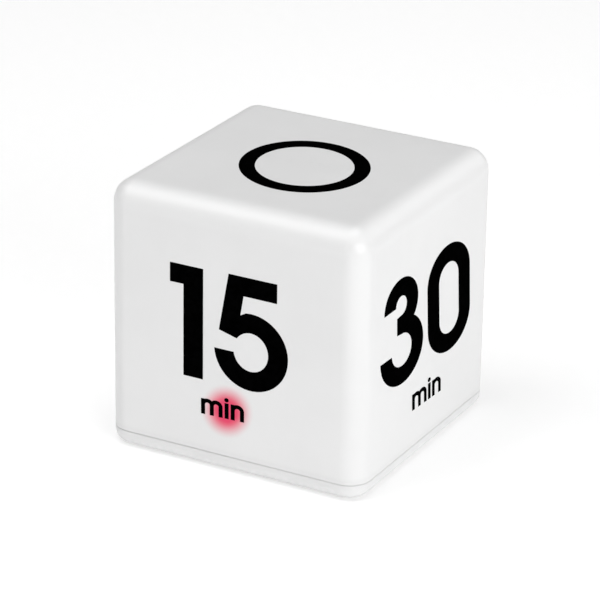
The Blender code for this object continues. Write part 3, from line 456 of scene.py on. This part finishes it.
def spread_ink(outlines, reach):
    """The ink's own spread. Each point moves by reach along the normals n and m of the two edges
    that meet in it, to p + reach * (n + m) / (1 + n.m). An outline inside another one is a hole,
    which closes by as much."""
    least_share = 0.5
    made = []
    for index, points in enumerate(outlines):
        others = outlines[:index] + outlines[index + 1:]
        hole = any(surrounds(other, points[0]) for other in others)
        points = points[np.linalg.norm(points - np.roll(points, 1, 0), axis=1) > SAME_POINT]
        ahead = np.roll(points, -1, 0) - points
        normal = np.stack([ahead[:, 1], -ahead[:, 0]], -1)
        normal /= np.linalg.norm(normal, axis=1, keepdims=True)
        both = normal + np.roll(normal, 1, 0)
        both /= np.maximum((both * normal).sum(1, keepdims=True), least_share)
        x, z = points.T
        turn = np.sign(np.sum(x * np.roll(z, -1) - z * np.roll(x, -1)))
        made.append(points + reach * turn * (-1 if hole else 1) * both)
    return made


def face_matrix(face):
    """From a print's own x, z and thickness to its place: a quarter turn for each side, and the
    top seen from above with the front side below."""
    if face == "top":
        return Matrix.Translation((0, 0, TOP))
    turn = {"front": 0, "right": 90, "back": 180, "left": 270}[face]
    turned = Matrix.Rotation(math.radians(turn), 4, "Z")
    upright = Matrix.Rotation(math.radians(90), 4, "X")
    return turned @ Matrix.Translation((0, -HALF, 0)) @ upright


def make_print(name, outlines, face, material):
    """A thin layer of ink: closed outlines in millimetres, with the ink's spread, filled as a flat
    curve, given a thickness, and set into the face so that it stands a little proud."""
    curve = bpy.data.curves.new(name, "CURVE")
    curve.dimensions = "2D"
    curve.fill_mode = "BOTH"
    curve.extrude = (INK_PROUD + INK_SUNK) / 2
    for points in spread_ink(outlines, INK_SPREAD):
        spline = curve.splines.new("POLY")
        spline.points.add(len(points) - 1)
        spline.use_cyclic_u = True
        flat = np.column_stack([points / 1000, np.zeros(len(points)), np.ones(len(points))])
        spline.points.foreach_set("co", flat.ravel())
    holder = bpy.data.objects.new(name, curve)
    mesh = bpy.data.meshes.new_from_object(holder)
    bpy.data.objects.remove(holder)
    bpy.data.curves.remove(curve)
    mesh.name = name
    mesh.transform(face_matrix(face) @ Matrix.Translation((0, 0, (INK_PROUD - INK_SUNK) / 2)))
    tidy(mesh)
    add_piece(name, mesh, material)


def make_prints(ink):
    """The marks of the four sides and the ring on the top. The marks that the photograph shows
    keep its small slants, and those on the hidden sides stand straight."""
    word = stretched(word_min(), 0.986, 0.934)
    front_word = leaning(shifted(word, -7.40, WORD_LINE), 0.010, -0.025, (-7.45, 12.70))
    right_word = shifted(stretched(word_min(), 1.288), -7.11, 12.77)
    right_word = leaning(right_word, 0.064, 0.039, (-7.5, 12.6))
    hidden_word = shifted(word, WORD_START, WORD_LINE)
    fifteen = shifted(numeral_1(), -7.15) + shifted(numeral_5(), 4.80)
    three = shifted(leaning(numeral_3(), 0.0054, 0.0563, (0.0, 13.0)), -13.40, 21.25)
    nought = shifted(numeral_0(20.87, 25.91, 5.57, 4.23), 9.53, 20.72)
    nought = leaning(nought, 0.083, 0.021, (9.2, 33.6))
    sixty = shifted(numeral_6(), -10.1) + shifted(numeral_0(18.2, 25.75, 4.70, 4.25), 10.0)
    ring = shifted(ring_mark(14.38, 3.42, 1.11, -54.7), 1.26, -2.06)
    make_print("numeral_15", shifted(fifteen, z=NUMERAL_LINE), "front", ink)
    make_print("word_min_front", front_word, "front", ink)
    make_print("numeral_30", three + nought, "right", ink)
    make_print("word_min_right", right_word, "right", ink)
    make_print("numeral_60", shifted(sixty, z=NUMERAL_LINE), "back", ink)
    make_print("word_min_back", hidden_word, "back", ink)
    make_print("numeral_5", shifted(numeral_5(), -0.6, NUMERAL_LINE), "left", ink)
    make_print("word_min_left", hidden_word, "left", ink)
    make_print("ring_on_top", ring, "top", ink)


# Finishes
class Finish:
    """A Principled finish whose nodes read the object's own coordinates."""

    def __init__(self, name, colour, roughness, metallic=0.0):
        """A new material with one colour, roughness and metallic value all over."""
        self.material = bpy.data.materials.new(name)
        self.material.use_nodes = True
        self.nodes = self.material.node_tree.nodes
        self.links = self.material.node_tree.links
        self.shader = self.nodes["Principled BSDF"]
        self.shader.inputs["Base Color"].default_value = (*colour, 1)
        self.shader.inputs["Roughness"].default_value = roughness
        self.shader.inputs["Metallic"].default_value = metallic
        self.place = self.nodes.new("ShaderNodeTexCoord").outputs["Object"]

    def node(self, kind, settings=(), **inputs):
        """A new node with its settings and inputs, whose names have _ for a space."""
        made = self.nodes.new("ShaderNode" + kind)
        for key, value in dict(settings).items():
            setattr(made, key, value)
        for key, value in inputs.items():
            self.feed(made.inputs[key.replace("_", " ")], value)
        return made

    def feed(self, socket, value):
        """Links an output to a socket, or sets the socket's own value."""
        if isinstance(value, bpy.types.NodeSocket):
            self.links.new(value, socket)
        else:
            socket.default_value = value

    def math(self, operation, first, second=0.0):
        """One arithmetic step on one or two values."""
        made = self.nodes.new("ShaderNodeMath")
        made.operation = operation
        for socket, value in zip(made.inputs, (first, second)):
            self.feed(socket, value)
        return made.outputs[0]

    def noise(self, scale, detail=2.0, stretch=None):
        """Noise with the given number of grains to a metre."""
        place = self.place
        if stretch is not None:
            place = self.node("Mapping", Vector=place, Scale=stretch).outputs[0]
        return self.node("TexNoise", Vector=place, Scale=scale, Detail=detail).outputs["Fac"]

    def spread(self, value, low, high, out_low, out_high):
        """The value's smooth way from low to high, as a way from out_low to out_high."""
        made = self.nodes.new("ShaderNodeMapRange")
        made.interpolation_type = "SMOOTHSTEP"
        for socket, number in zip(made.inputs, (value, low, high, out_low, out_high)):
            self.feed(socket, number)
        return made.outputs[0]

    def blend(self, share, first, second):
        """The first colour where the share is 0, the second where it is 1."""
        made = self.nodes.new("ShaderNodeMix")
        made.data_type = "RGBA"
        self.feed(made.inputs["Factor"], share)
        for socket, value in zip((made.inputs[6], made.inputs[7]), (first, second)):
            self.feed(socket, (*value, 1) if isinstance(value, tuple) else value)
        return made.outputs[2]

    def bump(self, *layers):
        """Layers of (height, strength, distance), one on the other."""
        before = None
        for height, strength, distance in layers:
            made = self.node("Bump", Height=height, Strength=strength, Distance=distance)
            if before is not None:
                self.links.new(before, made.inputs["Normal"])
            before = made.outputs[0]
        self.links.new(before, self.shader.inputs["Normal"])

    def set(self, **values):
        """Sets or links the shader's sockets, whose names have _ for a space."""
        for key, value in values.items():
            self.feed(self.shader.inputs[key.replace("_", " ")], value)


def scaled(colour, share):
    """The colour made lighter or darker by the share."""
    return tuple(min(value * share, 1.0) for value in colour)


def rounded_edges(finish, parts):
    """One on the rounded edges, where two of the three distances from the middle are large."""
    height = finish.math("SUBTRACT", parts[2], TOP / 2)
    reach = [finish.math("ABSOLUTE", value) for value in (parts[0], parts[1], height)]
    near = [finish.spread(value, HALF - EDGE, HALF - EDGE * 0.2, 0.0, 1.0) for value in reach]
    total = finish.math("ADD", finish.math("ADD", near[0], near[1]), near[2])
    return finish.spread(total, 1.05, 1.6, 0.0, 1.0)


def painted_edge_light(finish, edges, parts):
    """A mask for painted light on the edges. One on the edges round the top: it
    fades out just inside the top and a little way down each side. The upright edges have less of
    it, and it fades out towards their feet."""
    upright_share = 0.7
    side = finish.math("MAXIMUM", finish.math("ABSOLUTE", parts[0]),
                       finish.math("ABSOLUTE", parts[1]))
    out = finish.spread(side, HALF - EDGE * 0.95, HALF - EDGE * 0.35, 0.0, 1.0)
    up = finish.spread(parts[2], TOP - EDGE * 1.3, TOP - EDGE * 0.4, 0.0, 1.0)
    fade = finish.spread(parts[2], *UPRIGHT_PAINTED_LIGHT_FADE, 0.0, upright_share)
    return finish.math("MAXIMUM", finish.math("MULTIPLY", out, up),
                       finish.math("MULTIPLY", edges, fade))


def moulded_white(name, colour, lit=False):
    """Moulded white plastic: a very fine satin grain, faint flow variation, edges that handling
    has polished a little, painted light on the rounded edges, painted shade where the two halves
    meet and at the foot, and when lit a painted red glow where the lamp lies behind the wall."""
    finish = Finish(name, colour, 0.34)
    parts = finish.node("SeparateXYZ", Vector=finish.place).outputs
    edges = rounded_edges(finish, parts)
    flow, cloud, grain = finish.noise(45, 3), finish.noise(420), finish.noise(7500)
    tint = finish.blend(finish.spread(flow, 0.3, 0.7, 0.0, 1.0), scaled(colour, 0.985),
                        scaled(colour, 1.012))
    # Painted light: the colour is lighter on the edges round the top and, less, down the upright
    # edges
    tint = finish.blend(painted_edge_light(finish, edges, parts), tint, scaled(colour, 1.05))
    # Painted shade: the colour turns darker in a soft band about the seam between the two halves
    seam = finish.math("ABSOLUTE", finish.math("SUBTRACT", parts[2], SEAM_HEIGHT))
    tint = finish.blend(finish.spread(seam, 0.0, SEAM_PAINTED_SHADE_REACH, 0.08, 0.0), tint,
                        (0.42, 0.42, 0.42))
    # Painted shade: the colour turns darker towards the foot
    tint = finish.blend(finish.spread(parts[2], *FOOT_PAINTED_SHADE, 0.22, 0.0), tint, (0.45, 0.45, 0.44))
    rough = finish.math("ADD", finish.spread(cloud, 0.3, 0.7, 0.41, 0.47),
                        finish.math("MULTIPLY", edges, -0.05))
    # Painted glow: where the lamp lies behind the wall, the wall itself turns red and gives off red
    # light
    if lit:
        share = painted_glow_share(finish)
        tint = finish.blend(share, tint, (0.38, 0.005, 0.042))
        finish.set(Emission_Color=finish.blend(share, BLACK, (0.72, 0.015, 0.10)),
                   Emission_Strength=GLOW_STRENGTH)
    finish.set(Base_Color=tint, Roughness=rough, IOR=1.49, Specular_IOR_Level=0.85)
    finish.bump((flow, 0.05, 0.0004), (grain, 0.05, 0.000008))
    return finish.material


def painted_glow_share(finish):
    """How much painted glow of the lamp the wall shows: all at its middle, none at its reach."""
    place = finish.node("Mapping", {"vector_type": "TEXTURE"}, Vector=finish.place,
                        Location=GLOW_CENTRE, Rotation=(0, GLOW_LEAN, 0), Scale=GLOW_SHAPE)
    far = finish.node("VectorMath", {"operation": "LENGTH"}, Vector=place.outputs[0])
    return finish.spread(far.outputs["Value"], GLOW_CORE, GLOW_REACH, 1.0, 0.0)


def print_ink():
    """Black pad-print ink: satin, with a faint mottle and a fine skin."""
    finish = Finish("print_ink", (0.002, 0.002, 0.002), 0.5)
    mottle, skin = finish.noise(900, 3), finish.noise(6000)
    tint = finish.blend(finish.spread(mottle, 0.35, 0.7, 0.0, 1.0), (0.0003, 0.0003, 0.0003),
                        (0.0010, 0.0010, 0.0011))
    finish.set(Base_Color=tint, Roughness=finish.spread(mottle, 0.3, 0.7, 0.40, 0.50),
               Specular_IOR_Level=0.0)
    finish.bump((skin, 0.08, 0.00001))
    return finish.material


def plated_steel(name, colour, roughness, grain, stretch=None):
    """Plated steel: fine lines or a faint tumbled grain, with patches that are a little duller."""
    finish = Finish(name, colour, roughness, 1.0)
    lines, patches = finish.noise(grain, 3, stretch), finish.noise(700, 3)
    finish.set(Base_Color=finish.blend(finish.spread(patches, 0.35, 0.65, 0.0, 1.0),
                                       scaled(colour, 0.86), scaled(colour, 1.05)))
    finish.set(Roughness=finish.spread(lines, 0.3, 0.7, roughness - 0.07, roughness + 0.10))
    finish.bump((lines, 0.15, 0.000012))
    return finish.material


def dark_plastic(name, colour, roughness):
    """Dark moulded plastic with a fine grain and faint pale rubbing."""
    finish = Finish(name, colour, roughness)
    cloud, grain = finish.noise(500, 3), finish.noise(6500)
    rubbed = finish.spread(cloud, 0.55, 0.8, 0.0, 0.35)
    finish.set(Base_Color=finish.blend(rubbed, colour, scaled(colour, 2.2)))
    finish.set(Roughness=finish.spread(grain, 0.3, 0.7, roughness - 0.06, roughness + 0.08))
    finish.bump((grain, 0.2, 0.00001))
    return finish.material


def cured_epoxy():
    """The controller's black drop: glossy, with slow ripples from when it ran."""
    finish = Finish("cured_epoxy", (0.012, 0.012, 0.012), 0.18)
    ripple, dust = finish.noise(380), finish.noise(3800)
    finish.set(Base_Color=finish.blend(finish.spread(dust, 0.62, 0.72, 0.0, 0.2),
                                       (0.010, 0.010, 0.010), (0.09, 0.09, 0.085)))
    finish.set(Roughness=finish.spread(dust, 0.3, 0.7, 0.14, 0.26))
    finish.bump((ripple, 0.3, 0.0001))
    return finish.material


def solder_mask():
    """Green board: copper tracks that show paler through the mask, in short runs that cross."""
    finish = Finish("solder_mask", (0.015, 0.13, 0.06), 0.35)
    runs = []
    for turn in (0, 90):
        place = finish.node("Mapping", Vector=finish.place, Rotation=(0, 0, math.radians(turn)))
        brick = finish.node("TexBrick", {"offset": 0.37, "squash": 1.0}, Vector=place.outputs[0],
                            Scale=1.0, Mortar_Size=TRACK_WIDTH, Mortar_Smooth=0.2,
                            Brick_Width=TRACK_LENGTH, Row_Height=TRACK_PITCH)
        runs.append(brick.outputs["Fac"])
    share = finish.spread(finish.noise(160), 0.47, 0.5, 0.0, 1.0)
    tracks = finish.math("ADD", finish.math("MULTIPLY", runs[0], share),
                         finish.math("MULTIPLY", runs[1], finish.math("SUBTRACT", 1.0, share)))
    finish.set(Base_Color=finish.blend(tracks, (0.012, 0.11, 0.05), (0.05, 0.26, 0.10)))
    finish.set(Roughness=finish.spread(finish.noise(900), 0.3, 0.7, 0.28, 0.42))
    finish.bump((tracks, 0.4, 0.00003))
    return finish.material


def cell_sleeve(name, axis_x, axis_z, nub):
    """A dry cell's printed sleeve: dark, with a brass-coloured end towards the nub, and bare
    metal inside its rims. nub is the sign of y that the positive end points to."""
    finish = Finish(name, (0.03, 0.03, 0.035), 0.3)
    fade = 0.0001
    parts = finish.node("SeparateXYZ", Vector=finish.place).outputs
    along = finish.math("MULTIPLY", parts[1], float(nub))
    off_x = finish.math("SUBTRACT", parts[0], axis_x)
    off_z = finish.math("SUBTRACT", parts[2], axis_z)
    far = finish.math("SQRT", finish.math("ADD", finish.math("MULTIPLY", off_x, off_x),
                                          finish.math("MULTIPLY", off_z, off_z)))
    band = finish.spread(along, SLEEVE_BAND, SLEEVE_BAND + 2 * fade, 0.0, 1.0)
    start, end = SLEEVE_LINE
    line = finish.math("MULTIPLY", finish.spread(along, start, start + fade, 0.0, 1.0),
                       finish.spread(along, end - fade, end, 1.0, 0.0))
    bare = finish.spread(far, BARE_RADIUS, BARE_RADIUS + 2 * fade, 1.0, 0.0)
    streaks = finish.noise(1500, 3, (1.0, 0.05, 1.0))
    tint = finish.blend(streaks, (0.022, 0.022, 0.026), (0.040, 0.040, 0.046))
    tint = finish.blend(band, tint, (0.55, 0.34, 0.14))
    tint = finish.blend(line, tint, (0.70, 0.70, 0.70))
    tint = finish.blend(bare, tint, (0.60, 0.60, 0.58))
    metal = finish.math("MAXIMUM", finish.math("MULTIPLY", band, 0.85), bare)
    finish.set(Base_Color=tint, Metallic=metal)
    finish.set(Roughness=finish.spread(finish.noise(700, 3), 0.3, 0.7, 0.22, 0.36))
    finish.bump((finish.noise(2600), 0.1, 0.00001))
    return finish.material


def lamp_body(name, lit):
    """A small lamp: pale resin with a clear lens, red and bright where it is lit."""
    colour = (0.90, 0.10, 0.16) if lit else (0.80, 0.76, 0.70)
    finish = Finish(name, colour, 0.22)
    cloud = finish.noise(1800)
    finish.set(Base_Color=finish.blend(cloud, scaled(colour, 0.9), scaled(colour, 1.1)))
    finish.set(Roughness=finish.spread(cloud, 0.3, 0.7, 0.16, 0.28))
    if lit:
        finish.set(Emission_Color=(1.0, 0.10, 0.18, 1), Emission_Strength=6.0)
    finish.bump((cloud, 0.1, 0.00002))
    return finish.material


def paint(material, *nodes):
    """A carried-over node keeps its shape and takes this finish."""
    for node in nodes:
        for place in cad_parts[node].material_slots:
            place.material = material


def finish_inside(black):
    """The finishes of the pieces inside the case and under it."""
    zinc = plated_steel("zinc_plate", (0.56, 0.56, 0.57), 0.36, 2400)
    nickel = plated_steel("nickel_plate", (0.64, 0.62, 0.58), 0.24, 2600, (1.0, 1.0, 0.08))
    resistor = dark_plastic("resistor_glaze", (0.018, 0.018, 0.020), 0.35)
    sides = ("15min", "30min", "60min", "5min")
    numbers = "1234"
    paint(moulded_white("moulded_white_door", WHITE_BASE), "battery_door")
    paint(solder_mask(), "circuit_board")
    paint(cured_epoxy(), "controller_drop")
    paint(lamp_body("lamp_lit", True), "lamp_15min")
    paint(lamp_body("lamp_unlit", False), "lamp_30min", "lamp_60min", "lamp_5min")
    paint(resistor, *("lamp_resistor_" + side for side in sides))
    paint(zinc, *("case_screw_" + number for number in numbers),
          *("board_screw_" + number for number in numbers),
          *("tilt_can_" + side for side in sides), "crystal", "switch_housing")
    paint(nickel, "link_contact", "positive_contact", "negative_contact",
          *("tilt_ball_" + side for side in sides))
    paint(black, "sounder", "driver_transistor", "switch_handle", "switch_cap",
          *("tilt_header_" + side for side in sides))
    paint(dark_plastic("capacitor_sleeve", (0.020, 0.020, 0.024), 0.28), "supply_capacitor")
    for name in ("link_spring", "negative_spring"):
        merged_copy(name, name + "_wire", nickel, WIRE_SHARP)
    for name, nub in (("cell_left", 1), ("cell_right", -1)):
        low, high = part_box(name)
        sleeve = cell_sleeve(name + "_sleeve", (low[0] + high[0]) / 2, (low[2] + high[2]) / 2, nub)
        merged_copy(name, name + "_skin", sleeve, CELL_SHARP)


# Floor, camera and light
def make_floor():
    """A wide pale sheet, plain and matt, that also gives off a little of the studio's light. It
    is seen from above only, so that the underside of the object can be looked at. Its points are
    a square grid of even steps, FLOOR_DROP under the object."""
    steps = np.linspace(-FLOOR_REACH, FLOOR_REACH, FLOOR_POINTS)
    across, along = np.meshgrid(steps, steps)
    points = np.stack([across, along, np.full_like(across, -FLOOR_DROP)], -1)
    mesh = mesh_from_grid("floor", points, closed_round=False)
    finish = Finish("floor_paper", (0.80, 0.80, 0.80), 0.9)
    fibre = finish.spread(finish.noise(300), 0.3, 0.7, 0.0, 1.0)
    finish.set(Base_Color=finish.blend(fibre, (0.79, 0.79, 0.79), (0.81, 0.81, 0.81)))
    finish.set(Emission_Color=(1, 1, 1, 1), Emission_Strength=FLOOR_GLOW, Specular_IOR_Level=0.1)
    clear = finish.node("BsdfTransparent")
    either = finish.node("MixShader")
    under = finish.node("NewGeometry")
    finish.links.new(under.outputs["Backfacing"], either.inputs[0])
    finish.links.new(finish.shader.outputs[0], either.inputs[1])
    finish.links.new(clear.outputs[0], either.inputs[2])
    finish.links.new(either.outputs[0], finish.nodes["Material Output"].inputs["Surface"])
    floor = bpy.data.objects.new("floor", mesh)
    mesh.materials.append(finish.material)
    bpy.context.scene.collection.objects.link(floor)


def make_camera():
    """The photograph's own view: its angles and distance, the rolled picture, the lens, and the
    shift that puts the lens's axis on its pixel."""
    level = math.cos(VIEW_ELEVATION)
    back = Vector((math.sin(VIEW_AZIMUTH) * level, -math.cos(VIEW_AZIMUTH) * level,
                   math.sin(VIEW_ELEVATION)))
    right = Vector((0, 0, 1)).cross(back).normalized()
    upright = Matrix((right, back.cross(right), back)).transposed()
    turned = upright @ Matrix.Rotation(VIEW_ROLL, 3, "Z")
    place = Matrix.Translation(VIEW_TARGET + back * VIEW_DISTANCE)
    data = bpy.data.cameras.new("camera")
    data.sensor_width = SENSOR
    data.lens = LENS_IN_PIXELS / PICTURE * SENSOR
    data.shift_x = (PICTURE / 2 - AXIS_PIXEL[0]) / PICTURE
    data.shift_y = (AXIS_PIXEL[1] - PICTURE / 2) / PICTURE
    data.clip_start, data.clip_end = NEAREST, FARTHEST
    camera = bpy.data.objects.new("camera", data)
    camera.matrix_world = place @ turned.to_4x4()
    bpy.context.scene.collection.objects.link(camera)
    bpy.context.scene.camera = camera


def softbox(name, place, watts):
    """One rectangular lamp, turned towards the object."""
    data = bpy.data.lights.new(name, "AREA")
    data.shape = "RECTANGLE"
    data.size, data.size_y = SOFTBOX_SIZE
    data.energy = watts
    light = bpy.data.objects.new(name, data)
    light.location = place
    light.rotation_euler = (SOFTBOX_TARGET - Vector(place)).to_track_quat("-Z", "Y").to_euler()
    bpy.context.scene.collection.objects.link(light)


def make_lights():
    """The soft boxes and the even sky, shown without a film curve."""
    world = bpy.data.worlds.new("studio")
    world.use_nodes = True
    sky = world.node_tree.nodes["Background"]
    sky.inputs["Color"].default_value = (1, 1, 1, 1)
    sky.inputs["Strength"].default_value = SKY_STRENGTH
    bpy.context.scene.world = world
    for name, place, watts in SOFTBOXES:
        softbox(name, place, watts)
    bpy.context.scene.view_settings.view_transform = "Standard"


def make_scene():
    """The dressed object on its floor, with camera and light."""
    make_camera()
    white = moulded_white("moulded_white_lit", WHITE_SHELL, lit=True)
    base_white = moulded_white("moulded_white_base", WHITE_BASE)
    make_shell(white)
    make_base(base_white)
    make_prints(print_ink())
    finish_inside(dark_plastic("black_moulding", (0.018, 0.018, 0.019), 0.42))
    make_floor()
    make_lights()


make_scene()
